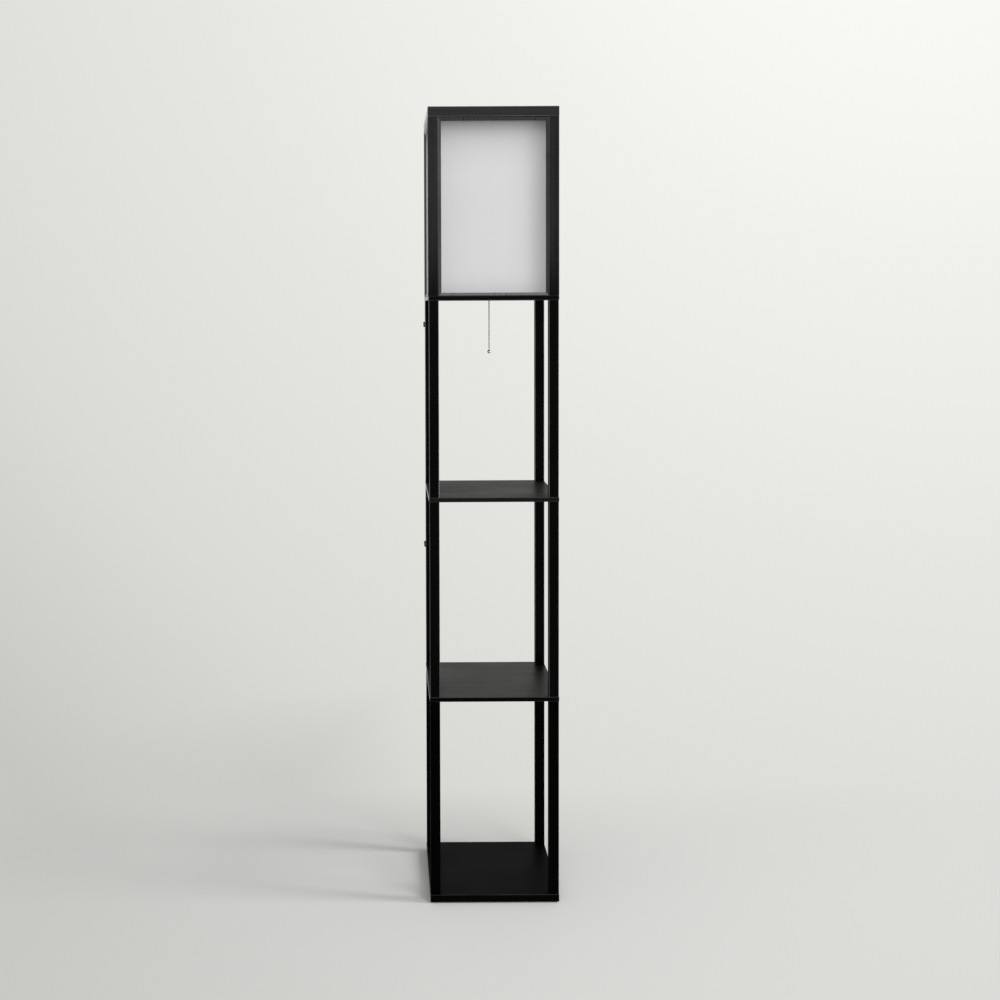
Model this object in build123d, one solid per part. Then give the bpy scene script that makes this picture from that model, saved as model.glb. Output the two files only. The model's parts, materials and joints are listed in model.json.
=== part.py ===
"""Shelf floor lamp: a tall square stack of posts and boards with a lamp box at the top.

Units are millimetres. The origin is on the floor under the middle of the base. +X points to the
right of the lamp, +Y to its back and +Z up, so the front faces -Y.
"""

from build123d import *
import math
import os

# Boards and posts
board_side = 260.0
board_thickness = 9.0
board_edge_chamfer = 0.8
base_thickness = 15.0
tier_count = 3
tier_clear = 394.0
lamp_clear = 354.0
post_side = 20.0
post_edge_chamfer = 1.0
tier_post_inset = 0.6
rail_height = 20.0

# Feet under the base
foot_radius = 11.0
foot_height = 2.0
foot_inset = 34.0

# Fasteners of the frame
wood_clearance = 0.1
base_screw_radius = 2.25
base_screw_head_radius = 4.5
base_screw_in_post = 28.0
stud_radius = 3.0
stud_in_post = 22.0
stud_in_insert = 11.0
stud_board_clearance = 0.4
insert_radius = 4.6
insert_length = 13.0
rod_sides = 8
dowel_radius = 3.0
dowel_length = 24.0
dowel_in_post = 14.0
rail_dowel_drop = 5.6

# Diffusers and the beads that hold them
panel_thickness = 1.2
panel_recess = 4.0
panel_clearance = 0.2
groove_depth = 4.0
bead_width = 6.0
bead_setback = 0.5
bead_land = 1.0
bead_nose = 0.8
shadow_gap = 2.0
shadow_gap_depth = 1.6

# Cord clips on the back left posts, and the grommet that the cord would leave by
upper_clip_drop = 51.0
middle_clip_drop = 129.0
clip_length = 11.0
clip_stand = 3.5
clip_ear = 1.4
clip_ear_width = 5.0
clip_wall = 1.1
cord_slot_width = 5.6
cord_slot_depth = 2.4
clip_round = 0.9
nail_radius = 0.8
nail_head_radius = 1.9
nail_head_height = 0.8
nail_in_post = 11.0
grommet_bore_radius = 3.6
grommet_wall = 2.2
grommet_lip = 2.2
grommet_lip_height = 1.5
grommet_inset = 34.0

# Lampholder on the lamp floor
holder_radius = 20.0
holder_height = 30.0
holder_floor = 3.0
holder_wall = 2.4
ledge_width = 2.0
flange_thickness = 4.0
ear_radius = 8.0
ear_reach = 26.0
holder_screw_radius = 2.0
holder_screw_head_radius = 3.8
holder_screw_head_height = 2.4
holder_screw_in_floor = 7.5
cord_entry_radius = 3.5
cord_entry_collar = 2.2
cord_entry_length = 3.0
cord_entry_height = 13.0
disc_thickness = 4.0
disc_clearance = 0.1
sleeve_length = 30.0
sleeve_wall = 2.4
sleeve_clearance = 1.0
sleeve_step_height = 5.0
shell_thickness = 0.6
shell_radius = 14.0
shell_height = 25.0
shell_hole_radius = 8.5
contact_width = 5.0
contact_thickness = 0.6
contact_rise = 2.4

# Pull switch inside the lampholder
pin_radius = 1.5
pin_running_clearance = 0.05
pin_height = 15.0
lug_thickness = 2.5
lug_half_width = 4.0
spool_pitch_radius = 7.6
spool_rim = 1.4
spool_flange = 1.2
side_gap = 0.3
drum_width = 2.5
drum_radius = 7.0
drum_tooth = 1.5
drum_teeth = 4
spring_strip = 0.4
spring_pitch = 1.3
spring_half_turns = 7
blade_thickness = 0.5
blade_width = 2.2
blade_gap = 0.2

# Bulb
cap_radius = 13.2
cap_height = 22.0
foot_contact_radius = 4.8
foot_contact_height = 1.6
foot_cone_height = 3.0
bulb_radius = 30.0
bulb_neck_length = 39.0
globe_cut = 15.0
globe_flat_radius = 3.0
globe_steps = 9
neck_steps = 6
bulb_sides = 32

# Pull chain
bead_radius = 1.6
bead_pitch = 4.2
bead_belt = 1.2
bead_sides = 8
link_radius = 0.5
link_gap = 0.15
bead_clearance = 0.3
chain_hole_radius = 4.0
outlet_radius = 3.0
pivot_drop = 2.2
hanging_beads = 23
wound_beads = 3
ball_radius = 4.0
ball_flat_radius = 1.0
ball_steps = 7
ball_sides = 16
ball_neck = 2.2

# Heights and places that follow from the sizes above
base_top = foot_height + base_thickness
tier_step = tier_clear + board_thickness
tier_bottoms = [base_top + i * tier_step for i in range(tier_count)]
shelf_bottoms = [z + tier_clear for z in tier_bottoms]
lamp_floor_bottom = shelf_bottoms[-1]
lamp_floor_top = lamp_floor_bottom + board_thickness
clip_heights = (shelf_bottoms[2] - upper_clip_drop, shelf_bottoms[1] - middle_clip_drop)
rail_bottom = lamp_floor_top + lamp_clear
lamp_top = rail_bottom + rail_height
half = board_side / 2
lamp_post_axis = half - post_side / 2
tier_post_axis = lamp_post_axis - tier_post_inset
window_half = half - post_side
bead_depth = panel_recess - bead_setback

holder_top = lamp_floor_top + holder_height
disc_bottom = holder_top - disc_thickness
pin_z = lamp_floor_top + pin_height
chain_y = -spool_pitch_radius
spool_hub_radius = spool_pitch_radius - bead_radius - bead_clearance
spool_half_groove = bead_radius + bead_clearance
spool_half_width = spool_half_groove + spool_flange
lug_start = spool_half_width + side_gap + drum_width
pivot_z = lamp_floor_bottom - pivot_drop
bulb_z = holder_top + contact_thickness + contact_rise + panel_clearance

corners = {
    "front_left": (-1, -1),
    "front_right": (1, -1),
    "back_left": (-1, 1),
    "back_right": (1, 1),
}
side_turns = {"front": 0, "right": 90, "back": 180, "left": 270}
tier_names = ("lower", "middle", "upper")


def column(radius, bottom, top, x=0.0, y=0.0):
    """An upright cylinder between two heights."""
    return Pos(x, y, (bottom + top) / 2) * Cylinder(radius, top - bottom)


def rod(radius, bottom, top, x=0.0, y=0.0):
    """An upright rod or hole of a hidden fastener, with flats that touch a circle of this radius."""
    corner = radius / math.cos(math.pi / rod_sides)
    return Pos(x, y, bottom) * extrude(RegularPolygon(corner, rod_sides), top - bottom)


def turned(stations, sides):
    """A form about Z with flat facets: a ring of this many sides at each height, with its radius."""
    turns = [2 * math.pi * i / sides for i in range(sides)]
    rings = [[(r * math.cos(a), r * math.sin(a), height) for a in turns] for height, r in stations]
    faces = [Face(Wire.make_polygon(ring)) for ring in (rings[0], rings[-1])]
    for low, high in zip(rings, rings[1:]):
        for i in range(sides):
            faces.append(Face(Wire.make_polygon((low[i - 1], low[i], high[i], high[i - 1]))))
    return Solid(Shell(faces))


def ball_stations(radius, centre, low_ring, high_ring, steps):
    """Heights and radii at equal steps round a ball, between its lowest ring's and its highest's angle."""
    stations = []
    for i in range(steps + 1):
        angle = low_ring + (high_ring - low_ring) * i / steps
        stations.append((centre + radius * math.sin(angle), radius * math.cos(angle)))
    return stations


def block(low, high):
    """A box from its lowest corner to its highest."""
    centre = [(a + b) / 2 for a, b in zip(low, high)]
    size = [b - a for a, b in zip(low, high)]
    return Pos(*centre) * Box(*size)


def group(solids):
    """Separate solids that share one file."""
    return Compound(children=[solid for part in solids for solid in part.solids()])


def at_corners(reach):
    """The four places at the same distance from both middle planes."""
    return [(sx * reach, sy * reach) for sx, sy in corners.values()]


# Frame


def board(bottom, thickness, tools):
    """A square board with softened edges, cut by the given tools."""
    plate = block((-half, -half, bottom), (half, half, bottom + thickness))
    plate = chamfer(plate.edges(), board_edge_chamfer)
    for tool in tools:
        plate -= tool
    return plate


def base_screw_shape(x, y, clearance):
    """A countersunk wood screw, or its hole when the clearance isn't zero."""
    shank = base_screw_radius + clearance
    corner = (base_screw_head_radius + clearance) / math.cos(math.pi / rod_sides)
    cone_height = base_screw_head_radius - base_screw_radius
    cone = extrude(RegularPolygon(corner, rod_sides), cone_height, taper=45)
    body = rod(shank, foot_height, base_top + base_screw_in_post + clearance, x, y)
    return body + Pos(x, y, foot_height) * cone


def base_board():
    """The thick bottom board, countersunk from below for the post screws."""
    holes = [base_screw_shape(x, y, wood_clearance) for x, y in at_corners(tier_post_axis)]
    return board(foot_height, base_thickness, holes)


def foot_pads():
    """Four stuck-on glides."""
    return group([column(foot_radius, 0, foot_height, x, y) for x, y in at_corners(half - foot_inset)])


def stud_holes(bottom):
    """Clearance holes through a shelf for the joining studs."""
    radius = stud_radius + stud_board_clearance
    return [rod(radius, bottom, bottom + board_thickness, x, y) for x, y in at_corners(tier_post_axis)]


def shelf(index):
    """One of the two open shelves."""
    bottom = shelf_bottoms[index]
    return board(bottom, board_thickness, stud_holes(bottom))


def lamp_floor():
    """The board under the lamp box, with the holes for chain, cord and holder screws."""
    tools = stud_holes(lamp_floor_bottom)
    tools.append(column(chain_hole_radius, lamp_floor_bottom, lamp_floor_top, 0, chain_y))
    x, y = grommet_place()
    hole = grommet_bore_radius + grommet_wall + wood_clearance
    tools.append(column(hole, lamp_floor_bottom, lamp_floor_top, x, y))
    for side in (-1, 1):
        depth = holder_screw_in_floor + wood_clearance
        radius = holder_screw_radius + wood_clearance
        tools.append(rod(radius, lamp_floor_top - depth, lamp_floor_top, side * ear_reach))
    return board(lamp_floor_bottom, board_thickness, tools)


def post_bar(x, y, bottom, length):
    """A square post with its four long edges bevelled."""
    bar = Pos(x, y, bottom + length / 2) * Box(post_side, post_side, length)
    return chamfer(bar.edges().filter_by(Axis.Z), post_edge_chamfer)


def insert_bore(x, y, bottom):
    """The hole for an insert nut in the foot of a post."""
    return rod(insert_radius + wood_clearance, bottom, bottom + insert_length, x, y)


def tier_post(tier, corner):
    """A post between two boards."""
    sx, sy = corners[corner]
    x = sx * tier_post_axis
    y = sy * tier_post_axis
    bottom = tier_bottoms[tier]
    top = bottom + tier_clear
    bar = post_bar(x, y, bottom, tier_clear)
    if tier == 0:
        bar -= base_screw_shape(x, y, wood_clearance)
    else:
        bar -= insert_bore(x, y, bottom)
    bar -= rod(stud_radius + wood_clearance, top - stud_in_post - wood_clearance, top, x, y)
    if corner == "back_left":
        for height in clip_heights:
            if bottom < height < top:
                bar -= nail_shape(height, wood_clearance)
    return bar


def panel_groove(top):
    """The slot for one diffuser in the posts and the rail round the front window."""
    near = -half + panel_recess - panel_clearance
    far = -half + panel_recess + panel_thickness + panel_clearance
    reach = window_half + groove_depth
    return block((-reach, near, lamp_floor_top), (reach, far, top))


def all_grooves(top):
    """The slots of all four diffusers."""
    return [Rot(0, 0, turn) * panel_groove(top) for turn in side_turns.values()]


def lamp_post(corner):
    """A corner post of the lamp box, grooved for the two diffusers beside it."""
    sx, sy = corners[corner]
    x = sx * lamp_post_axis
    y = sy * lamp_post_axis
    bar = post_bar(x, y, lamp_floor_top, lamp_clear)
    for groove in all_grooves(rail_bottom):
        bar -= groove
    bar -= insert_bore(sx * tier_post_axis, sy * tier_post_axis, lamp_floor_top)
    bar -= rod(dowel_radius + wood_clearance, rail_bottom - dowel_in_post, rail_bottom, x, y)
    return bar


def dowel_solids(clearance):
    """The eight dowels of the top frame, or their holes when the clearance isn't zero."""
    radius = dowel_radius + clearance
    low = rail_bottom - dowel_in_post
    upright = [
        rod(radius, low - clearance, low + dowel_length + clearance, x, y)
        for x, y in at_corners(lamp_post_axis)
    ]
    height = lamp_top - rail_dowel_drop
    flat = [
        Pos(x, math.copysign(window_half, y), height)
        * Rot(90, 0, 0)
        * rod(radius, -dowel_length / 2 - clearance, dowel_length / 2 + clearance)
        for x, y in at_corners(lamp_post_axis)
    ]
    return upright + flat


def top_rail(side):
    """One bar of the top frame. Front and back bars run the full width, with the sides between."""
    reach = half if side in ("front", "back") else window_half
    bar = block((-reach, -half, rail_bottom), (reach, -window_half, lamp_top))
    bar = chamfer(bar.edges().filter_by(Axis.X), post_edge_chamfer)
    bar = Rot(0, 0, side_turns[side]) * bar
    for groove in all_grooves(rail_bottom + groove_depth):
        bar -= groove
    for dowel in dowel_solids(wood_clearance):
        bar -= dowel
    return bar


def frame_dowels():
    """Dowels that pin the top bars to the posts and to each other."""
    return group(dowel_solids(0))


def base_screws():
    """Screws up through the base into the lowest posts."""
    return group([base_screw_shape(x, y, 0) for x, y in at_corners(tier_post_axis)])


def joining_studs():
    """Studs fixed in the top of each tier post, which pass through the board above."""
    studs = []
    for bottom in shelf_bottoms:
        low = bottom - stud_in_post
        high = bottom + board_thickness + stud_in_insert
        studs += [rod(stud_radius, low, high, x, y) for x, y in at_corners(tier_post_axis)]
    return group(studs)


def insert_nuts():
    """Threaded inserts in the foot of each post above a shelf."""
    nuts = []
    for bottom in shelf_bottoms:
        low = bottom + board_thickness
        nut = rod(insert_radius, low, low + insert_length)
        nut -= rod(stud_radius + wood_clearance, low, low + insert_length)
        nuts += [Pos(x, y, 0) * nut for x, y in at_corners(tier_post_axis)]
    return group(nuts)


# Lamp box windows


def diffuser(side):
    """A thin white sheet held in the grooves, standing on the lamp floor."""
    near = -half + panel_recess
    reach = window_half + groove_depth - panel_clearance
    top = rail_bottom + groove_depth - panel_clearance
    sheet = block((-reach, near, lamp_floor_top), (reach, near + panel_thickness, top))
    return Rot(0, 0, side_turns[side]) * sheet


def bead_section():
    """The bead's section: across it, away from the frame bar, and in from the front of the box."""
    outline = Polyline(
        (0, 0),
        (0, bead_depth),
        (bead_width, bead_depth),
        (bead_width, bead_depth - bead_nose),
        (bead_land, 0),
        close=True,
    )
    return make_face(outline)


def bead_strip(length):
    """A bevelled strip lying along X, mitred at both ends, with its back on the plane Z = 0."""
    section = Plane.YZ * bead_section()
    strip = Pos(-length / 2, 0, 0) * extrude(section, length)
    ends = Polyline(
        (-length / 2, 0),
        (length / 2, 0),
        (length / 2 - bead_width, bead_width),
        (-length / 2 + bead_width, bead_width),
        close=True,
    )
    return strip & extrude(make_face(ends), bead_depth)


def glazing_beads(side):
    """Four mitred strips round the front of one diffuser, with a shadow gap under the top rail."""
    width = 2 * window_half
    height = lamp_clear - shadow_gap
    middle_z = lamp_floor_top + height / 2
    strips = []
    for turn, length, offset in (
        (0, width, height / 2),
        (90, height, window_half),
        (180, width, height / 2),
        (270, height, window_half),
    ):
        strip = Rot(0, 0, turn) * Pos(0, -offset, 0) * bead_strip(length)
        strips.append(strip)
    strips[0] += block(
        (-window_half, -height / 2 - shadow_gap, shadow_gap_depth),
        (window_half, -height / 2, bead_depth),
    )
    upright = Pos(0, -half + bead_setback, middle_z) * Rot(90, 0, 0) * Rot(180, 0, 0)
    return group([Rot(0, 0, side_turns[side]) * upright * strip for strip in strips])


# Cord clips and grommet


def clip_face():
    """The left side of a tier post, where the clips sit."""
    return -tier_post_axis - post_side / 2


def clip_front():
    """How far forward a clip's ear reaches on its post."""
    return tier_post_axis - (clip_ear_width + 2 * clip_wall + cord_slot_width) / 2


def nail_shape(height, clearance):
    """A clip's nail, or its hole when the clearance isn't zero."""
    y = clip_front() + clip_ear_width / 2
    length = nail_in_post + clip_ear + 2 * clearance
    shank = rod(nail_radius + clearance, 0, length)
    return Pos(clip_face() - clip_ear - clearance, y, height) * Rot(0, 90, 0) * shank


def clip_nails():
    """One nail through each clip's ear, its head on the ear."""
    nails = []
    y = clip_front() + clip_ear_width / 2
    for height in clip_heights:
        head = Cylinder(nail_head_radius, nail_head_height)
        place = Pos(clip_face() - clip_ear - nail_head_height / 2, y, height)
        nails.append(nail_shape(height, 0) + place * Rot(0, 90, 0) * head)
    return group(nails)


def cord_clip(height):
    """A saddle with a flat ear, open inside for a flat cord running up the post."""
    face = clip_face()
    front = clip_front()
    low = height - clip_length / 2
    high = height + clip_length / 2
    saddle_start = front + clip_ear_width
    saddle_end = saddle_start + 2 * clip_wall + cord_slot_width
    ear = block((face - clip_ear, front, low), (face, saddle_start, high))
    saddle = block((face - clip_stand, saddle_start, low), (face, saddle_end, high))
    outer = saddle.edges().filter_by(Axis.Z).sort_by(Axis.X)[:2]
    clip = ear + fillet(outer, clip_round)
    slot_start = saddle_start + clip_wall
    clip -= block(
        (face - cord_slot_depth, slot_start, low),
        (face, slot_start + cord_slot_width, high),
    )
    return clip - nail_shape(height, wood_clearance)


def cord_clips():
    """The two clips on the back left posts."""
    return group([cord_clip(height) for height in clip_heights])


def grommet_place():
    """The cord's hole, in the back left corner inside the lamp box."""
    return -half + grommet_inset, half - grommet_inset


def cord_grommet():
    """A flanged bush that lines the cord's hole in the lamp floor, flush with the floor's underside."""
    x, y = grommet_place()
    body = grommet_bore_radius + grommet_wall
    high = lamp_floor_top + grommet_lip_height
    bush = column(body, lamp_floor_bottom, high, x, y)
    bush += column(body + grommet_lip, lamp_floor_top, high, x, y)
    return bush - column(grommet_bore_radius, lamp_floor_bottom, high, x, y)


# Lampholder


def holder_screw_places():
    """The two ears' screw positions."""
    return (-ear_reach, 0), (ear_reach, 0)


def lampholder_base():
    """The moulded cup that holds the pull switch, with two ears, a chain outlet and a cord entry."""
    bottom = lamp_floor_top
    ears = [column(ear_radius, bottom, bottom + flange_thickness, x, y) for x, y in holder_screw_places()]
    web = block(
        (-ear_reach, -ear_radius, bottom),
        (ear_reach, ear_radius, bottom + flange_thickness),
    )
    cup = column(holder_radius, bottom, holder_top) + web + ears[0] + ears[1]
    entry_z = bottom + cord_entry_height
    collar_length = holder_radius + cord_entry_length
    toward_back = Pos(0, collar_length / 2, entry_z) * Rot(90, 0, 0)
    cup += toward_back * Cylinder(cord_entry_radius + cord_entry_collar, collar_length)
    chamber = holder_radius - holder_wall - ledge_width
    cup -= column(chamber, bottom + holder_floor, holder_top)
    cup -= column(holder_radius - holder_wall, disc_bottom, holder_top)
    cup -= toward_back * Cylinder(cord_entry_radius, collar_length)
    for side in (-1, 1):
        start = side * lug_start
        end = side * (lug_start + lug_thickness)
        low_x = min(start, end)
        high_x = max(start, end)
        cup += block(
            (low_x, -lug_half_width, bottom + holder_floor / 2),
            (high_x, lug_half_width, pin_z),
        )
        rounded = Pos((low_x + high_x) / 2, 0, pin_z) * Rot(0, 90, 0)
        cup += rounded * Cylinder(lug_half_width, lug_thickness)
    bore = 2 * (lug_start + lug_thickness)
    cup -= Pos(0, 0, pin_z) * Rot(0, 90, 0) * Cylinder(pin_radius + wood_clearance, bore)
    cup -= column(outlet_radius, bottom, bottom + holder_floor, 0, chain_y)
    for x, y in holder_screw_places():
        radius = holder_screw_radius + wood_clearance
        cup -= rod(radius, bottom, bottom + flange_thickness, x, y)
    return cup


def holder_screws():
    """Round-headed screws through the ears into the lamp floor."""
    screws = []
    seat = lamp_floor_top + flange_thickness
    for x, y in holder_screw_places():
        head = column(holder_screw_head_radius, seat, seat + holder_screw_head_height, x, y)
        head = chamfer(head.edges().sort_by(Axis.Z)[-1], holder_screw_head_height / 3)
        low = lamp_floor_top - holder_screw_in_floor
        screws.append(head + rod(holder_screw_radius, low, seat, x, y))
    return group(screws)


def spool_pin():
    """The axle across the lugs, which carries the spool, the drum and the spring."""
    length = 2 * (lug_start + lug_thickness)
    return Pos(0, 0, pin_z) * Rot(0, 90, 0) * Cylinder(pin_radius, length)


def wheel(radius, start, end):
    """A disc about the pin between two places along X."""
    return Pos((start + end) / 2, 0, pin_z) * Rot(0, 90, 0) * Cylinder(radius, end - start)


def chain_spool():
    """The grooved wheel that the chain winds on."""
    spool = wheel(spool_hub_radius, -spool_half_width, spool_half_width)
    rim = spool_pitch_radius + spool_rim
    spool += wheel(rim, -spool_half_width, -spool_half_groove)
    spool += wheel(rim, spool_half_groove, spool_half_width)
    bore = pin_radius + pin_running_clearance
    return spool - wheel(bore, -spool_half_width, spool_half_width)


def contact_drum():
    """The ratchet wheel that opens and closes the contacts."""
    start = -lug_start
    points = []
    for i in range(drum_teeth):
        angle = 2 * math.pi * i / drum_teeth
        tooth = drum_radius
        root = drum_radius - drum_tooth
        points.append((tooth * math.cos(angle), tooth * math.sin(angle)))
        points.append((root * math.cos(angle), root * math.sin(angle)))
        half_way = angle + math.pi / drum_teeth
        middle = (tooth + root) / 2
        points.append((middle * math.cos(half_way), middle * math.sin(half_way)))
    outline = make_face(Polyline(*points, close=True))
    drum = extrude(Plane.YZ * outline, drum_width)
    drum = Pos(start, 0, pin_z) * drum
    bore = pin_radius + pin_running_clearance
    return drum - wheel(bore, start, start + drum_width)


def return_spring():
    """A flat spiral strip beside the spool, wound in half circles from the pin outwards."""
    arcs = []
    radius = pin_radius + spring_strip
    centre = 0.0
    side = 1
    start = (centre + side * radius, 0)
    for i in range(spring_half_turns):
        end = (start[0] - side * 2 * radius, 0)
        middle = ((start[0] + end[0]) / 2, side * radius)
        arcs.append(ThreePointArc(start, middle, end))
        start = end
        side = -side
        radius += spring_pitch / 2
    strip = trace(Curve() + arcs, spring_strip)
    spring = extrude(Plane.YZ * strip, drum_width)
    return Pos(lug_start - drum_width, 0, pin_z) * spring


def contact_blades():
    """Two leaf contacts that hang from the disc on each side of the drum."""
    blades = []
    near = drum_radius + blade_gap
    start = -lug_start + side_gap / 2
    for side in (-1, 1):
        ys = sorted((side * near, side * (near + blade_thickness)))
        blades.append(block((start, ys[0], pin_z), (start + blade_width, ys[1], disc_bottom)))
    return group(blades)


def insulator_disc():
    """The disc that closes the switch chamber and carries the screw shell."""
    return column(holder_radius - holder_wall - disc_clearance, disc_bottom, holder_top)


def screw_shell():
    """The brass shell that the bulb screws into, with a floor round the centre contact."""
    shell = column(shell_radius, holder_top, holder_top + shell_height)
    shell -= column(shell_radius - shell_thickness, holder_top + shell_thickness, holder_top + shell_height)
    return shell - column(shell_hole_radius, holder_top, holder_top + shell_thickness)


def centre_contact():
    """A sprung tongue under the bulb: a foot on the disc, a step and a raised tip."""
    half_width = contact_width / 2
    reach = shell_hole_radius - 1
    foot_top = holder_top + contact_thickness
    tip_top = foot_top + contact_rise
    foot = block((-reach, -half_width, holder_top), (0, half_width, foot_top))
    step = block((-contact_thickness, -half_width, holder_top), (0, half_width, tip_top))
    tip = block(
        (-contact_thickness, -half_width, tip_top - contact_thickness),
        (reach / 2, half_width, tip_top),
    )
    return foot + step + tip


def lampholder_sleeve():
    """The moulded sleeve round the screw shell, with a stepped foot on the cup's rim."""
    inner = shell_radius + sleeve_clearance
    sleeve = column(inner + sleeve_wall, holder_top, holder_top + sleeve_length)
    sleeve += column(holder_radius, holder_top, holder_top + sleeve_step_height)
    sleeve = chamfer(sleeve.edges().group_by(Axis.Z)[-1], sleeve_wall / 3)
    return sleeve - column(inner, holder_top, holder_top + sleeve_length)


# Bulb


def bulb_cap():
    """The metal screw cap, with its insulating cone and foot contact."""
    cone_bottom = bulb_z + foot_contact_height
    cap_bottom = cone_bottom + foot_cone_height
    cone = Cone(foot_contact_radius, cap_radius - 2, foot_cone_height)
    cap = column(foot_contact_radius, bulb_z, cone_bottom)
    cap += Pos(0, 0, cone_bottom + foot_cone_height / 2) * cone
    return cap + column(cap_radius, cap_bottom, cap_bottom + cap_height)


def bulb_seam():
    """Height where the bulb's neck ends and its globe begins."""
    return bulb_z + foot_contact_height + foot_cone_height + cap_height + bulb_neck_length


def neck_radius(share):
    """The neck's radius at a share of its height. It starts upright and meets the globe's slope."""
    rim = math.sqrt(bulb_radius**2 - globe_cut**2)
    ease = 3 * share**2 - 2 * share**3
    flare = bulb_neck_length * (globe_cut / rim) * (share**3 - share**2)
    return cap_radius + (rim - cap_radius) * ease + flare


def bulb_body():
    """The bulb's flared plastic neck."""
    low = bulb_seam() - bulb_neck_length
    shares = [i / neck_steps for i in range(neck_steps + 1)]
    return turned([(low + bulb_neck_length * share, neck_radius(share)) for share in shares], bulb_sides)


def bulb_globe():
    """The opal dome that sits on the neck, with a small flat at its top."""
    seam = -math.asin(globe_cut / bulb_radius)
    top = math.acos(globe_flat_radius / bulb_radius)
    centre = bulb_seam() + globe_cut
    return turned(ball_stations(bulb_radius, centre, seam, top, globe_steps), bulb_sides)


# Pull chain


def bead_stations(height):
    """Heights and radii of one bead between its two link ends, with a belt round its middle."""
    half_bead = math.sqrt(bead_radius**2 - link_radius**2)
    return [
        (height - half_bead, link_radius),
        (height - bead_belt / 2, bead_radius),
        (height + bead_belt / 2, bead_radius),
        (height + half_bead, link_radius),
    ]


def bead_run(heights, low, high):
    """Beads on a link wire that runs from low to high."""
    stations = [(low, link_radius)]
    for height in sorted(heights):
        stations += bead_stations(height)
    if high > stations[-1][0]:
        stations.append((high, link_radius))
    return turned(stations, bead_sides)


def wound_chain():
    """The beads already on the spool, in its groove above the point where the chain leaves it."""
    step = bead_pitch / spool_pitch_radius
    chord = 2 * spool_pitch_radius * math.sin(step / 2)
    places = []
    for i in range(wound_beads):
        angle = math.pi - (i + 1) * step
        y = spool_pitch_radius * math.cos(angle)
        z = pin_z + spool_pitch_radius * math.sin(angle)
        places.append(Pos(0, y, z) * Rot(180 + math.degrees(angle), 0, 0))
    chain = places[0] * turned(bead_stations(0), bead_sides)
    for place in places[1:]:
        chain += place * turned(bead_stations(0), bead_sides)
    for place in places[:-1]:
        lean = Rot(-math.degrees(step) / 2, 0, 0)
        link = extrude(RegularPolygon(link_radius, bead_sides), chord)
        chain += place * lean * link
    return chain


def upper_chain():
    """The straight run from the spool down to the underside of the lamp floor."""
    count = math.floor((pin_z - pivot_z) / bead_pitch)
    heights = [pivot_z + bead_pitch * (i + 1) for i in range(count)]
    low = pivot_z + bead_radius + link_gap
    return Pos(0, chain_y, 0) * bead_run(heights, low, heights[-1])


def chain_pivot_bead():
    """The bead at the mouth of the hole, about which the hanging chain swings."""
    return Pos(0, chain_y, pivot_z) * turned(bead_stations(0), bead_sides)


def pull_chain():
    """The hanging run of beads, from the pivot bead down to the ball."""
    heights = [pivot_z - bead_pitch * (i + 1) for i in range(hanging_beads)]
    high = pivot_z - bead_radius - link_gap
    return Pos(0, chain_y, 0) * bead_run(heights, heights[-1] - bead_radius - ball_neck, high)


def pull_ball():
    """The ball that is gripped, with a flat on top where the last link goes in."""
    top = pivot_z - bead_pitch * hanging_beads - bead_radius - ball_neck
    edge = math.acos(ball_flat_radius / ball_radius)
    stations = ball_stations(ball_radius, top - ball_radius * math.sin(edge), -edge, edge, ball_steps)
    return Pos(0, chain_y, 0) * turned(stations, ball_sides)


def all_parts():
    """Every sub-part by its name."""
    parts = {
        "base_board": base_board(),
        "foot_pads": foot_pads(),
        "base_screws": base_screws(),
        "lower_shelf": shelf(0),
        "middle_shelf": shelf(1),
        "lamp_floor": lamp_floor(),
        "joining_studs": joining_studs(),
        "insert_nuts": insert_nuts(),
        "frame_dowels": frame_dowels(),
        "cord_clips": cord_clips(),
        "clip_nails": clip_nails(),
        "cord_grommet": cord_grommet(),
        "lampholder_base": lampholder_base(),
        "holder_screws": holder_screws(),
        "spool_pin": spool_pin(),
        "chain_spool": chain_spool(),
        "contact_drum": contact_drum(),
        "return_spring": return_spring(),
        "contact_blades": contact_blades(),
        "insulator_disc": insulator_disc(),
        "screw_shell": screw_shell(),
        "centre_contact": centre_contact(),
        "lampholder_sleeve": lampholder_sleeve(),
        "bulb_cap": bulb_cap(),
        "bulb_body": bulb_body(),
        "bulb_globe": bulb_globe(),
        "wound_chain": wound_chain(),
        "upper_chain": upper_chain(),
        "chain_pivot_bead": chain_pivot_bead(),
        "pull_chain": pull_chain(),
        "pull_ball": pull_ball(),
    }
    for corner in corners:
        for tier in range(tier_count):
            parts[f"{tier_names[tier]}_post_{corner}"] = tier_post(tier, corner)
        parts[f"lamp_post_{corner}"] = lamp_post(corner)
    for side in side_turns:
        parts[f"top_rail_{side}"] = top_rail(side)
        parts[f"diffuser_{side}"] = diffuser(side)
        parts[f"glazing_beads_{side}"] = glazing_beads(side)
    return parts


os.makedirs("parts", exist_ok=True)
for name, shape in all_parts().items():
    export_step(shape, f"parts/{name}.step")
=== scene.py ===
"""Looks of the shelf floor lamp, in metres and in the frame's own axes: the front faces -Y, the left is -X.

The parts of the frame get procedural materials. Round pieces stand for the chain, its ball and the bulb,
which are faceted in the frame.
"""

import json
import math

import bmesh
import bpy
from mathutils import Matrix, Vector


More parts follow.
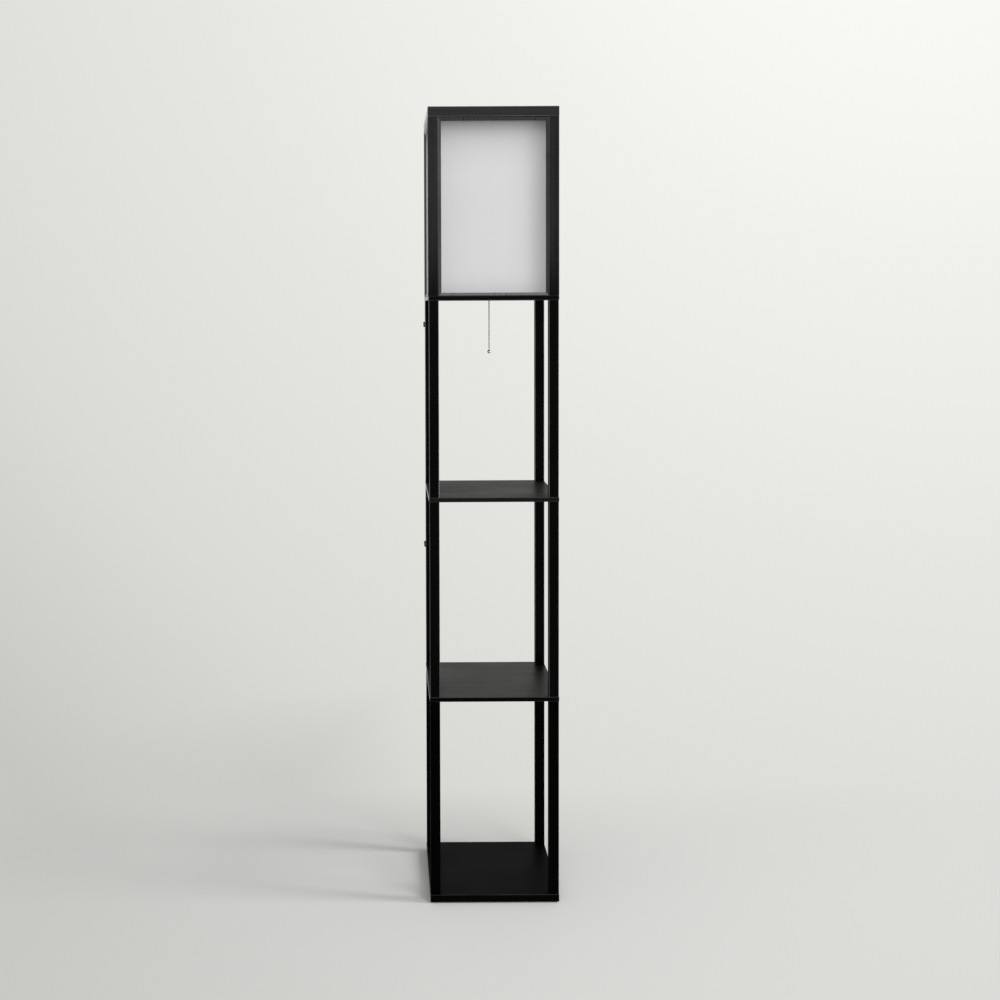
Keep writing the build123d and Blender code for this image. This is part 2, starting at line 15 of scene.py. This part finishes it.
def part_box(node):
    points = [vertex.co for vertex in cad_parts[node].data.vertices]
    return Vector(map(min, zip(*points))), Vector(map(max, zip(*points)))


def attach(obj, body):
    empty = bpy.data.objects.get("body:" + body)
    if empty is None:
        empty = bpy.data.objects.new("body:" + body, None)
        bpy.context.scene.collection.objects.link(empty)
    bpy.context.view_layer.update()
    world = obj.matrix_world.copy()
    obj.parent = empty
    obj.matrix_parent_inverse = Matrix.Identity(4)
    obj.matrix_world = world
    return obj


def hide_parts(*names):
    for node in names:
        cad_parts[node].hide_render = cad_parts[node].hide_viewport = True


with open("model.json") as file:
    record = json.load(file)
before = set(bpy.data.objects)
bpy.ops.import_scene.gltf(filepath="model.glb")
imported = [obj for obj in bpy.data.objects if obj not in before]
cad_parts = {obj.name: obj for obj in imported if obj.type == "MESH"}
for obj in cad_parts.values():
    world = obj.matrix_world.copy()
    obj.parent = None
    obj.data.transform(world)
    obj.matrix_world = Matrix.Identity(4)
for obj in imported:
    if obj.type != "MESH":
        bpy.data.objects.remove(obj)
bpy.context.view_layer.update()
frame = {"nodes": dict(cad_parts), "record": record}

# Names that repeat in the frame
CORNERS = ("front_left", "front_right", "back_left", "back_right")
SIDES = ("front", "right", "back", "left")
TIERS = ("lower", "middle", "upper")

# Where the photograph was taken from, and how: angles in radians, lens in millimetres
CAMERA_PLACE = (-0.2145, -2.7084, 1.2057)
CAMERA_PITCH = 0.0376
CAMERA_ROLL = 0.0049
CAMERA_LENS = 46.715
CAMERA_SHIFT = (0.1139, -0.1448)
CAMERA_REACH = 200


def extent(node):
    """The lowest and the highest point of a part of the frame."""
    low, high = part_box(node)
    return low.z, high.z


# Nodes of materials


class Nodes:
    """A short way to write one material's nodes."""

    def __init__(self, name, tree=None):
        if tree is None:
            self.material = bpy.data.materials.new(name)
            self.material.use_nodes = True
            tree = self.material.node_tree
        self.tree = tree
        tree.nodes.clear()

    def add(self, kind, inputs=None, **settings):
        node = self.tree.nodes.new("ShaderNode" + kind)
        for key, value in settings.items():
            setattr(node, key, value)
        for key, value in (inputs or {}).items():
            self.feed(node.inputs[key], value)
        return node

    def feed(self, socket, value):
        """Links another node's output to a socket, or sets a constant there."""
        if isinstance(value, bpy.types.NodeSocket):
            self.tree.links.new(value, socket)
        else:
            socket.default_value = value

    def math(self, operation, *values):
        node = self.add("Math", operation=operation)
        for socket, value in zip(node.inputs, values):
            self.feed(socket, value)
        return node.outputs[0]

    def vector_math(self, operation, output, *values):
        node = self.add("VectorMath", operation=operation)
        for socket, value in zip(node.inputs, values):
            self.feed(socket, value)
        return node.outputs[output]

    def split(self, vector):
        """The X, Y and Z of a vector."""
        return self.add("SeparateXYZ", {"Vector": vector}).outputs

    def place(self, stretch=(1, 1, 1)):
        """The point in the object's own metres, stretched along its axes."""
        point = self.add("TexCoord").outputs["Object"]
        return self.vector_math("MULTIPLY", "Vector", point, stretch)

    def noise(self, scale, stretch=(1, 1, 1), detail=3.0, roughness=0.5):
        inputs = {
            "Vector": self.place(stretch),
            "Scale": scale,
            "Detail": detail,
            "Roughness": roughness,
        }
        return self.add("TexNoise", inputs).outputs["Fac"]

    def remap(self, value, source, target=(0, 1)):
        """A value carried from one range into another, and held inside it."""
        inputs = {
            "Value": value,
            "From Min": source[0],
            "From Max": source[1],
            "To Min": target[0],
            "To Max": target[1],
        }
        return self.add("MapRange", inputs, clamp=True).outputs[0]

    def blend(self, share, first, second, kind="MIX"):
        """A colour between two others."""
        inputs = {0: share, 6: first, 7: second}
        return self.add("Mix", inputs, data_type="RGBA", blend_type=kind).outputs[2]

    def ramp(self, position, stops, interpolation="LINEAR"):
        """The shade at a position along stops, each a position and its shade."""
        node = self.add("ValToRGB", {"Fac": position})
        node.color_ramp.interpolation = interpolation
        elements = node.color_ramp.elements
        while len(elements) < len(stops):
            elements.new(0.5)
        for element, (stop, shade) in zip(elements, stops):
            element.position = stop
            element.color = shade
        return node.outputs["Color"]

    def bump(self, height, strength, distance=0.0001, normal=None):
        inputs = {"Height": height, "Strength": strength, "Distance": distance}
        if normal is not None:
            inputs["Normal"] = normal
        return self.add("Bump", inputs).outputs[0]

    def surface(self, **inputs):
        """Ends the material in one shader, whose sockets are named with underscores."""
        shader = self.add("BsdfPrincipled")
        for key, value in inputs.items():
            self.feed(shader.inputs[key.replace("_", " ")], value)
        output = self.add("OutputMaterial", {"Surface": shader.outputs[0]})
        output.is_active_output = True
        return self.material


def colour(tone):
    """A tone with its alpha, grey where only one number is given."""
    red, green, blue = tone if isinstance(tone, tuple) else (tone,) * 3
    return red, green, blue, 1


# Black paint

# How a face is turned, from its normal: the sum of the parts is 1 on a flat face and 1.4 on an edge's
# bevel, the X part is 1 on the left and right faces, and the Z part is 1 on a top face
BEVELLED = (1.15, 1.3)
SIDEWAYS = (0.9, 0.95)
LEVEL = (0.5, 0.9)
UPWARDS = (0.4, 0.6)

# Noise of the paint: the ranges that become tone, sheen and patches of edge wear with a painted glint
GRAIN_STRETCH = {"x": (2.2, 70, 70), "y": (70, 2.2, 70), "z": (70, 70, 2.2)}
TONE_RANGE = (0.55, 0.95)
SHEEN_RANGE = (0.7, 1.3)
SHEEN_SPREAD = (-0.05, 0.07)
WEAR_AND_GLINT_RANGE = (0.35, 0.6)
LEAST_WEAR_AND_GLINT = 0.55

# Light left at a foot in painted shade, and the tone of the painted shade in a gap with the height over which
# it begins
FOOT_LIGHT = 0.3
GAP_SHADE_TONE = 0.0004
GAP_SHADE_EDGE = 0.0001


def painted_wood(name, axis, tones, roughness, specular, edge_wear_and_glint, side_roughness=None,
                 upright_specular=None, painted_ledge_highlight=None, foot_shade=None, gap_shade_above=None):
    """Black paint over wood: faint grain, fine dimples, and lighter edges, partly wear and partly a painted
    glint.

    axis: the grain's way
    tones: the darkest and the lightest tone
    edge_wear_and_glint: tone of the edges, wear with a painted glint
    side_roughness: roughness of faces that look left or right
    upright_specular: reflection of upright faces
    painted_ledge_highlight: tone of faces that look up, a painted highlight
    foot_shade: heights between which the paint comes out of the shade
    gap_shade_above: height above which the paint is darkened and dulled as painted shade in a gap
    """
    n = Nodes(name)
    grain = n.noise(scale=1.6, stretch=GRAIN_STRETCH[axis], detail=5.0, roughness=0.62)
    cloud = n.noise(scale=9.0)
    dimples = n.noise(scale=1400.0, detail=2.0)
    towards = n.split(n.add("NewGeometry").outputs["Normal"])
    slopes = [n.math("ABSOLUTE", part) for part in towards]

    streaks = n.math("ADD", grain, n.math("MULTIPLY", cloud, 0.5))
    paint = n.blend(n.remap(streaks, TONE_RANGE), colour(tones[0]), colour(tones[1]))
    edge = n.remap(n.math("ADD", n.math("ADD", slopes[0], slopes[1]), slopes[2]), BEVELLED)
    # Lighter edges: wear, with a painted glint where the bevels would catch the light
    wear_and_glint_share = n.math("MULTIPLY", edge, n.remap(cloud, WEAR_AND_GLINT_RANGE, (LEAST_WEAR_AND_GLINT, 1)))
    paint = n.blend(wear_and_glint_share, paint, colour(edge_wear_and_glint))
    sheens = [roughness + change for change in SHEEN_SPREAD]
    sheen = n.remap(n.math("ADD", grain, cloud), SHEEN_RANGE, sheens)

    if side_roughness is not None:
        side = n.remap(slopes[0], SIDEWAYS)
        sheen = n.math("ADD", sheen, n.math("MULTIPLY", side, side_roughness - roughness))
    if upright_specular is not None:
        specular = n.remap(slopes[2], LEVEL, (upright_specular, specular))
    # Faces that look up get a painted highlight
    if painted_ledge_highlight is not None:
        paint = n.blend(n.remap(towards[2], UPWARDS), paint, colour(painted_ledge_highlight))
    if foot_shade is not None:
        lit = n.remap(n.split(n.place())[2], foot_shade, (FOOT_LIGHT, 1))
        paint = n.blend(lit, colour(0), paint)
        specular = n.math("MULTIPLY", lit, specular)
    # Painted shade in the gap under the rail: darker and without reflection above the height
    if gap_shade_above is not None:
        gap_shade_foot = (gap_shade_above - GAP_SHADE_EDGE, gap_shade_above + GAP_SHADE_EDGE)
        outside_gap_shade = n.remap(n.split(n.place())[2], gap_shade_foot, (1, 0))
        paint = n.blend(outside_gap_shade, colour(GAP_SHADE_TONE), paint)
        specular = n.math("MULTIPLY", outside_gap_shade, specular)
    ridges = n.bump(grain, strength=0.15, distance=0.0003)
    return n.surface(
        Base_Color=paint,
        Roughness=sheen,
        Normal=n.bump(dimples, strength=0.08, normal=ridges),
        Specular_IOR_Level=specular,
    )


# Other materials

# Where most of a noise's values lie
NOISE_RANGE = (0.3, 0.7)

# How far light spreads inside a white sheet or shell
TRANSLUCENT = dict(Subsurface_Radius=(1.0, 1.0, 1.0), Subsurface_Scale=0.002)


def metal(name, tone, roughness, streaks=(1, 1, 1), scratch=0.05, tarnish=0.8):
    """Plated or bare metal with fine drawing lines and light tarnish."""
    n = Nodes(name)
    lines = n.noise(scale=900.0, stretch=streaks)
    cloud = n.noise(scale=160.0, detail=2.0)
    dull = tuple(tarnish * part for part in tone)
    return n.surface(
        Base_Color=n.blend(n.remap(cloud, (0.35, 0.7)), colour(tone), colour(dull)),
        Metallic=1.0,
        Roughness=n.remap(lines, NOISE_RANGE, (roughness - 0.04, roughness + 0.08)),
        Normal=n.bump(lines, strength=scratch),
    )


def moulded(name, tone, roughness, grain_scale=1200.0, strength=0.12, mottle=0.06):
    """Moulded plastic or rubber with a fine spark-eroded texture and uneven sheen."""
    n = Nodes(name)
    texture = n.noise(scale=grain_scale)
    cloud = n.noise(scale=70.0)
    dark = tuple(part * (1 - mottle) for part in tone)
    light = tuple(part * (1 + mottle) for part in tone)
    return n.surface(
        Base_Color=n.blend(n.remap(cloud, NOISE_RANGE), colour(dark), colour(light)),
        Roughness=n.remap(cloud, NOISE_RANGE, (roughness - 0.05, roughness + 0.05)),
        Normal=n.bump(texture, strength=strength),
    )


def beech():
    """Turned beech with short flecks along the grain."""
    n = Nodes("beech")
    grain = n.noise(scale=2.0, stretch=(160, 160, 12), detail=5.0, roughness=0.6)
    fleck = n.noise(scale=4.0, stretch=(420, 420, 60), detail=2.0)
    figure = n.remap(n.math("ADD", grain, n.math("MULTIPLY", fleck, 0.4)), (0.5, 0.9))
    return n.surface(
        Base_Color=n.blend(figure, colour((0.50, 0.34, 0.19)), colour((0.72, 0.56, 0.36))),
        Roughness=0.7,
        Normal=n.bump(grain, strength=0.3, distance=0.0003),
    )


def opal():
    """Opal plastic of the bulb's globe, a soft white that light passes through."""
    n = Nodes("opal_globe")
    cloud = n.noise(scale=60.0)
    return n.surface(
        Base_Color=n.blend(cloud, colour((0.86, 0.86, 0.84)), colour((0.93, 0.93, 0.91))),
        Roughness=n.remap(cloud, NOISE_RANGE, (0.28, 0.38)),
        Normal=n.bump(n.noise(scale=900.0), strength=0.03),
        Subsurface_Weight=0.3,
        **TRANSLUCENT,
    )


def fitting_materials():
    """Materials of the fittings, by the slot that the record gives them."""
    nickel = metal("nickel", (0.76, 0.75, 0.72), roughness=0.26)
    return {
        "zinc_steel": metal("zinc_plate", (0.66, 0.67, 0.68), roughness=0.34),
        "brass": metal("brass", (0.80, 0.60, 0.30), roughness=0.30),
        "spring_steel": metal("spring_strip", (0.45, 0.46, 0.48), roughness=0.36, streaks=(1, 1, 6)),
        "nickel": nickel,
        "chain_metal": nickel,
        "black_phenolic": moulded("phenolic", (0.022, 0.020, 0.019), roughness=0.32),
        "black_plastic": moulded("black_plastic", (0.008, 0.008, 0.008), roughness=0.6),
        "white_plastic": moulded(
            "white_plastic", (0.82, 0.82, 0.80), roughness=0.42, strength=0.06, mottle=0.02,
        ),
        "foot_rubber": moulded(
            "glide", (0.045, 0.045, 0.045), roughness=0.75, grain_scale=700.0, strength=0.25,
        ),
        "dowel_wood": beech(),
    }


# Diffusers

# The strips round each diffuser, and the gap between them and the rail above, as the frame has them
STRIP_WIDTH = 0.006
SHADOW_GAP = 0.002

SHEET_DARK = (0.73, 0.73, 0.742)
SHEET_LIGHT = (0.75, 0.75, 0.762)

# Shade of a diffuser: distance from the edge, and how much light is left there
TOP_SHADE = ((0.0, 0.30), (0.004, 0.33), (0.025, 0.74), (0.046, 0.88), (0.068, 0.94), (0.11, 1.0))
RIGHT_SHADE = ((0.0, 0.58), (0.015, 0.66), (0.032, 0.86), (0.049, 0.95), (0.08, 1.0))
LEFT_SHADE = ((0.0, 0.91), (0.015, 0.92), (0.032, 0.96), (0.07, 1.0))
BOTTOM_SHADE = ((0.0, 0.84), (0.012, 0.90), (0.024, 0.96), (0.045, 1.0))


def edge_distances(n, side):
    """How far a point of a diffuser is from each edge of its window, with that edge's shade."""
    low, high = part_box(f"glazing_beads_{side}")
    half_window = max(high.x - low.x, high.y - low.y) / 2 - STRIP_WIDTH
    turn = SIDES.index(side) * math.pi / 2
    right = (math.cos(turn), math.sin(turn), 0)
    along = n.vector_math("DOT_PRODUCT", "Value", n.place(), right)
    height = n.split(n.place())[2]
    return (
        (n.math("SUBTRACT", high.z - SHADOW_GAP - STRIP_WIDTH, height), TOP_SHADE),
        (n.math("SUBTRACT", height, low.z + STRIP_WIDTH), BOTTOM_SHADE),
        (n.math("SUBTRACT", half_window, along), RIGHT_SHADE),
        (n.math("ADD", half_window, along), LEFT_SHADE),
    )


def diffuser_sheet(side):
    """White translucent sheet with a trace of fibre, and painted shade along its edges, deepest at the top and
    the right.
    """
    n = Nodes(f"diffuser_{side}")
    fibre = n.noise(scale=260.0, stretch=(1, 1, 0.5), detail=4.0, roughness=0.6)
    cloud = n.noise(scale=6.0, detail=2.0)
    mixed = n.math("ADD", n.math("MULTIPLY", fibre, 0.6), n.math("MULTIPLY", cloud, 0.4))
    white = n.blend(n.remap(mixed, (0.35, 0.65)), colour(SHEET_DARK), colour(SHEET_LIGHT))
    # Painted shade along each edge of the window
    for distance, steps in edge_distances(n, side):
        reach = steps[-1][0]
        stops = [(position / reach, colour(light)) for position, light in steps]
        shade = n.ramp(n.math("DIVIDE", distance, reach), stops, "B_SPLINE")
        white = n.blend(1.0, white, shade, "MULTIPLY")
    return n.surface(
        Base_Color=white,
        Roughness=n.remap(fibre, NOISE_RANGE, (0.48, 0.58)),
        Normal=n.bump(fibre, strength=0.03),
        Specular_IOR_Level=0.1,
        Subsurface_Weight=0.5,
        **TRANSLUCENT,
    )


# Parts that are carried over

# Boards, posts and rails share one black paint; their tones differ part by part as painted light and shade,
# lighter on the middle shelf and on the lamp box's frame
BOARD_PAINTS = {
    "base_board": dict(tones=(0.0008, 0.002), roughness=0.45, specular=0.015, edge_wear_and_glint=0.03),
    "lower_shelf": dict(
        tones=(0.001, 0.003), roughness=0.42, specular=0.11, edge_wear_and_glint=0.04, upright_specular=0.01,
    ),
    "middle_shelf": dict(tones=(0.005, 0.010), roughness=0.42, specular=0.03, edge_wear_and_glint=0.05),
    "lamp_floor": dict(tones=(0.0015, 0.004), roughness=0.42, specular=0.03, edge_wear_and_glint=0.05),
}
# The posts' edges get lighter tier by tier going up: a painted glint over the wear
POST_PAINTS = {
    "lower": dict(specular=0.01, edge_wear_and_glint=0.005),
    "middle": dict(specular=0.04, edge_wear_and_glint=0.10),
    "upper": dict(specular=0.04, edge_wear_and_glint=0.22),
}
RAIL_PAINTS = {
    "x": dict(tones=(0.013, 0.025), roughness=0.25, specular=0.11, edge_wear_and_glint=0.16),
    "y": dict(tones=(0.014, 0.026), roughness=0.16, specular=0.10, edge_wear_and_glint=0.05),
}
BOX_POST_PAINT = dict(
    tones=(0.010, 0.020), roughness=0.25, specular=0.08, edge_wear_and_glint=0.07, side_roughness=0.7, foot_shade=(1.23, 1.37),
)
STRIP_PAINT = dict(tones=(0.010, 0.017), roughness=0.28, specular=0.55, edge_wear_and_glint=0.02, painted_ledge_highlight=0.2)


def dress(node, material):
    """Gives a carried-over part its material."""
    piece = frame["nodes"][node]
    piece.data.materials.clear()
    piece.data.materials.append(material)


def dress_shelves():
    """Paint of the boards and of the posts between them."""
    for board, looks in BOARD_PAINTS.items():
        dress(board, painted_wood(f"{board}_paint", "x", side_roughness=0.15, **looks))
    for tier in TIERS:
        paint = painted_wood(
            f"{tier}_post_paint", "z", tones=(0.0005, 0.0015), roughness=0.25, side_roughness=0.6,
            **POST_PAINTS[tier],
        )
        for corner in CORNERS:
            dress(f"{tier}_post_{corner}", paint)


def dress_box():
    """Paint of the lamp box, and its diffusers."""
    post_paint = painted_wood("box_post_paint", "z", **BOX_POST_PAINT)
    rail_paints = {
        axis: painted_wood(f"rail_paint_{axis}", axis, **looks) for axis, looks in RAIL_PAINTS.items()
    }
    # The strips' tongue in the gap under the top rail gets painted shade
    strip_top = extent("glazing_beads_front")[1]
    strip_paint = painted_wood("strip_paint", "z", gap_shade_above=strip_top - SHADOW_GAP, **STRIP_PAINT)
    for corner in CORNERS:
        dress(f"lamp_post_{corner}", post_paint)
    for side in SIDES:
        dress(f"top_rail_{side}", rail_paints["x" if side in ("front", "back") else "y"])
        dress(f"glazing_beads_{side}", strip_paint)
        dress(f"diffuser_{side}", diffuser_sheet(side))


def dress_fittings(by_slot):
    """Materials of the screws, the clips, the lampholder and the rest, by their slots."""
    for part in frame["record"]["subparts"]:
        if part["material_slot"] in by_slot:
            dress(part["node"], by_slot[part["material_slot"]])


# Modelled pieces


def new_piece(name, make, material, body, replaced):
    """A modelled piece that stands for a part of the frame."""
    bm = bmesh.new()
    make(bm)
    bmesh.ops.recalc_face_normals(bm, faces=bm.faces)
    mesh = bpy.data.meshes.new(name)
    bm.to_mesh(mesh)
    bm.free()
    for face in mesh.polygons:
        face.use_smooth = True
    mesh.materials.append(material)
    piece = bpy.data.objects.new(name, mesh)
    bpy.context.scene.collection.objects.link(piece)
    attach(piece, body)
    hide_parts(replaced)


def add_turned(bm, outline, sides, place=Matrix.Identity(4)):
    """A form turned about Z from radii and heights, closed at each end that isn't on the axis."""
    rings = []
    for radius, height in outline:
        ring = []
        for i in range(sides if radius > 0 else 1):
            angle = 2 * math.pi * i / sides
            point = Vector((radius * math.cos(angle), radius * math.sin(angle), height))
            ring.append(bm.verts.new(place @ point))
        rings.append(ring)
    for low, high in zip(rings, rings[1:]):
        for i in range(sides):
            j = i + 1
            corners = (low[i % len(low)], low[j % len(low)], high[j % len(high)], high[i % len(high)])
            bm.faces.new(list(dict.fromkeys(corners)))
    for ring in (rings[0], rings[-1]):
        if len(ring) > 1:
            bm.faces.new(ring)


def add_ball(bm, radius, place, sides=24, steps=12):
    """A round ball."""
    outline = [(0, -radius)]
    for i in range(1, steps):
        angle = math.pi * (i / steps - 0.5)
        outline.append((radius * math.cos(angle), radius * math.sin(angle)))
    outline.append((0, radius))
    add_turned(bm, outline, sides, place)


# Pull chain: the middle of the bead that it swings about, and the sizes of the frame's own chain
PIVOT = sum(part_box("chain_pivot_bead"), Vector()) / 2
BEAD_RADIUS = 0.0016
BEAD_PITCH = 0.0042
WIRE_RADIUS = 0.00045
WIRE_SIDES = 10

# The ball is a hair smaller than the frame's. Its collar has radii, and heights from the ball's top
BALL_RADIUS = 0.00398
COLLAR = ((0.0011, -0.0004), (0.0011, 0.0006), (0.0007, 0.0010))
COLLAR_SIDES = 20
WIRE_IN_BALL = 0.0002


def on_chain(height):
    """A place on the chain's line at a height."""
    return Matrix.Translation((0, PIVOT.y, height))


def bead_run(heights, low, high):
    """Maker of round beads on a wire from low to high."""

    def make(bm):
        for height in heights:
            add_ball(bm, BEAD_RADIUS, on_chain(height))
        add_turned(bm, [(WIRE_RADIUS, low), (WIRE_RADIUS, high)], WIRE_SIDES, on_chain(0))

    return make


def make_chain(nickel, chrome):
    """The hanging run with its ball, the pivot bead and the run above it."""
    ball_low, ball_high = extent("pull_ball")
    hanging_low, hanging_high = extent("pull_chain")
    rising_low, rising_high = extent("upper_chain")
    below = math.floor((PIVOT.z - hanging_low) / BEAD_PITCH)
    above = math.floor((rising_high - PIVOT.z) / BEAD_PITCH)
    hanging = [PIVOT.z - BEAD_PITCH * (i + 1) for i in range(below)]
    rising = [PIVOT.z + BEAD_PITCH * (i + 1) for i in range(above)]

    def make_ball(bm):
        add_ball(bm, BALL_RADIUS, on_chain((ball_low + ball_high) / 2), sides=48, steps=24)
        add_turned(bm, COLLAR, COLLAR_SIDES, on_chain(ball_high))

    def make_pivot(bm):
        add_ball(bm, BEAD_RADIUS, on_chain(PIVOT.z))

    hanging_run = bead_run(hanging, ball_high - WIRE_IN_BALL, hanging_high)
    rising_run = bead_run(rising, rising_low, rising[-1])
    new_piece("hanging_beads", hanging_run, nickel, "chain", "pull_chain")
    new_piece("grip_ball", make_ball, chrome, "chain", "pull_ball")
    new_piece("top_bead", make_pivot, nickel, "pivot", "chain_pivot_bead")
    new_piece("rising_beads", rising_run, nickel, "pull", "upper_chain")


# Bulb: the globe's radius, and how far under its middle the neck cuts it, as the frame has them
GLOBE_RADIUS = 0.030
GLOBE_CUT = 0.015
RIM_RADIUS = math.sqrt(GLOBE_RADIUS**2 - GLOBE_CUT**2)

# How far the neck turns in at its top, and how far inside the rim the globe's flat foot ends
NECK_LIP = 0.0006
GLOBE_INSET = 0.0008
NECK_STEPS = 20
GLOBE_STEPS = 24
BULB_SIDES = 64


def neck_outline(low, high):
    """The neck's radii and heights. It starts upright at the cap and meets the globe's slope."""
    length = high - low
    cap_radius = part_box("bulb_cap")[1].x
    outline = [(0, low)]
    for i in range(NECK_STEPS + 1):
        share = i / NECK_STEPS
        ease = 3 * share**2 - 2 * share**3
        flare = length * (GLOBE_CUT / RIM_RADIUS) * (share**3 - share**2)
        outline.append((cap_radius + (RIM_RADIUS - cap_radius) * ease + flare, low + length * share))
    return outline + [(RIM_RADIUS - NECK_LIP, high), (0, high)]


def globe_outline(seam):
    """The globe's radii and heights, from its flat foot on the neck to its top."""
    centre = seam + GLOBE_CUT
    start = -math.asin(GLOBE_CUT / GLOBE_RADIUS)
    outline = [(0, seam), (RIM_RADIUS - GLOBE_INSET, seam)]
    for i in range(1, GLOBE_STEPS):
        angle = start + (math.pi / 2 - start) * i / GLOBE_STEPS
        outline.append((GLOBE_RADIUS * math.cos(angle), centre + GLOBE_RADIUS * math.sin(angle)))
    return outline + [(0, centre + GLOBE_RADIUS)]


def make_bulb(white, opal_white):
    """The bulb's flared neck and its globe."""
    low, high = extent("bulb_body")

    def make_neck(bm):
        add_turned(bm, neck_outline(low, high), BULB_SIDES)

    def make_globe(bm):
        add_turned(bm, globe_outline(high), BULB_SIDES)

    new_piece("bulb_neck", make_neck, white, "root", "bulb_body")
    new_piece("bulb_dome", make_globe, opal_white, "root", "bulb_globe")


# Stage and camera

# The backdrop: a pool of light high on the right. Nearness of a direction to its middle, and the tone there
POOL_MIDDLE = Vector((0.38, 0.85, 0.37)).normalized()
POOL = ((0.55, 0.56), (0.70, 0.70), (0.85, 0.79), (0.94, 0.87), (0.99, 0.95))
POOL_TINT = (1.0, 1.008, 0.965)

# Strength of the even light, from the left and from the right
EVEN_LIGHT = (0.41, 0.575)

# The floor, and the ranges of distance, Y and X in which it fades into the backdrop
FLOOR_TONE = (0.74, 0.745, 0.72)
FLOOR_RADIUS = 60
FADE_AWAY = (0.3, 1.4)
# Behind the lamp, except off to its left, the floor turns into the backdrop sooner: painted light that covers
# the lamp's shadow there
FADE_BEHIND = (0.13, 0.5)
FADE_ACROSS = (-0.7, -0.15)

# Soft lights: place, aim, width and height, and power in watts
SOFTBOXES = {
    "overhead": ((0.3, -0.75, 3.4), (0, 0, 1.0), (1.0, 1.0), 14),
    "right": ((6.5, -1.0, 4.2), (0, 0, 2.0), (1.6, 4.0), 260),
    "right_front": ((1.9, -2.8, 1.4), (0, 0, 0.9), (1.3, 1.6), 28),
    "front": ((-0.6, -4.2, 2.2), (0, 0, 1.3), (2.2, 1.6), 16),
}


def pool_colour(n, direction):
    """The backdrop's colour in a direction."""
    nearness = n.vector_math("DOT_PRODUCT", "Value", direction, tuple(POOL_MIDDLE))
    stops = [(position, colour(tuple(tone * tint for tint in POOL_TINT))) for position, tone in POOL]
    return n.ramp(nearness, stops)


def seen_directly(n):
    """One for rays that carry the background: from the camera, a reflection or a transmission."""
    path = n.add("LightPath").outputs
    seen = n.math("MAXIMUM", path["Is Camera Ray"], path["Is Glossy Ray"])
    return n.math("MAXIMUM", seen, path["Is Transmission Ray"])


def make_world():
    """Even light all round, and a pale backdrop for what the camera sees."""
    world = bpy.data.worlds.new("studio")
    world.use_nodes = True
    bpy.context.scene.world = world
    n = Nodes("studio", world.node_tree)
    direction = n.add("TexCoord").outputs["Generated"]
    backdrop = n.add("Background", {"Color": pool_colour(n, direction), "Strength": 1.0})
    strength = n.remap(n.split(direction)[0], (-1, 1), EVEN_LIGHT)
    light = n.add("Background", {"Color": (1, 1, 1, 1), "Strength": strength})
    both = n.add("MixShader", {0: seen_directly(n), 1: light.outputs[0], 2: backdrop.outputs[0]})
    n.add("OutputWorld", {"Surface": both.outputs[0]})


def floor_material():
    """Pale paper that fades into the backdrop far from the lamp, and sooner behind it, where the backdrop's
    painted light covers the lamp's shadow.
    """
    n = Nodes("floor")
    point = n.add("NewGeometry").outputs["Position"]
    x, y, _ = n.split(point)
    # Painted backdrop light in place of the lamp's shadow behind it
    behind = n.math("MULTIPLY", n.remap(y, FADE_BEHIND), n.remap(x, FADE_ACROSS))
    away = n.remap(n.vector_math("LENGTH", "Value", point), FADE_AWAY)
    fade = n.math("MAXIMUM", away, behind)
    sight = n.vector_math("SUBTRACT", "Vector", point, CAMERA_PLACE)
    direction = n.vector_math("NORMALIZE", "Vector", sight)
    backdrop = n.add("Emission", {"Color": pool_colour(n, direction), "Strength": 1.0})
    paper = n.add("BsdfDiffuse", {"Color": colour(FLOOR_TONE)})
    share = n.math("MULTIPLY", fade, seen_directly(n))
    both = n.add("MixShader", {0: share, 1: paper.outputs[0], 2: backdrop.outputs[0]})
    n.add("OutputMaterial", {"Surface": both.outputs[0]})
    return n.material


def make_floor():
    """A wide pale floor that keeps the lamp's shadow."""
    mesh = bpy.data.meshes.new("floor")
    bm = bmesh.new()
    bmesh.ops.create_circle(bm, cap_ends=True, segments=64, radius=FLOOR_RADIUS)
    bm.to_mesh(mesh)
    bm.free()
    mesh.materials.append(floor_material())
    floor = bpy.data.objects.new("floor", mesh)
    bpy.context.scene.collection.objects.link(floor)


def make_softbox(name, place, aim, size, power):
    """A rectangular soft light that the camera doesn't see."""
    light = bpy.data.lights.new(name, "AREA")
    light.shape = "RECTANGLE"
    light.size, light.size_y = size
    light.energy = power
    lamp = bpy.data.objects.new(name, light)
    bpy.context.scene.collection.objects.link(lamp)
    lamp.location = place
    lamp.rotation_euler = (Vector(aim) - Vector(place)).to_track_quat("-Z", "Y").to_euler()
    lamp.visible_camera = False


def make_camera():
    """The photograph's own view."""
    data = bpy.data.cameras.new("camera")
    data.lens = CAMERA_LENS
    data.shift_x, data.shift_y = CAMERA_SHIFT
    data.clip_end = CAMERA_REACH
    camera = bpy.data.objects.new("camera", data)
    bpy.context.scene.collection.objects.link(camera)
    turn = Matrix.Rotation(math.pi / 2 - CAMERA_PITCH, 4, "X") @ Matrix.Rotation(-CAMERA_ROLL, 4, "Z")
    camera.matrix_world = Matrix.Translation(CAMERA_PLACE) @ turn
    bpy.context.scene.camera = camera


make_camera()
make_world()
make_floor()
for light_name, settings in SOFTBOXES.items():
    make_softbox(light_name, *settings)

fittings = fitting_materials()
dress_shelves()
dress_box()
dress_fittings(fittings)
# The beads and the ball share the fittings' nickel plating, toned darker as painted shade, the beads most of
# all
make_chain(
    nickel=metal("bead_chain", (0.36, 0.35, 0.34), roughness=0.22, scratch=0.02),
    chrome=metal("grip_chrome", (0.58, 0.57, 0.56), roughness=0.20, scratch=0.02),
)
make_bulb(fittings["white_plastic"], opal())

bpy.context.scene.view_settings.view_transform = "Standard"
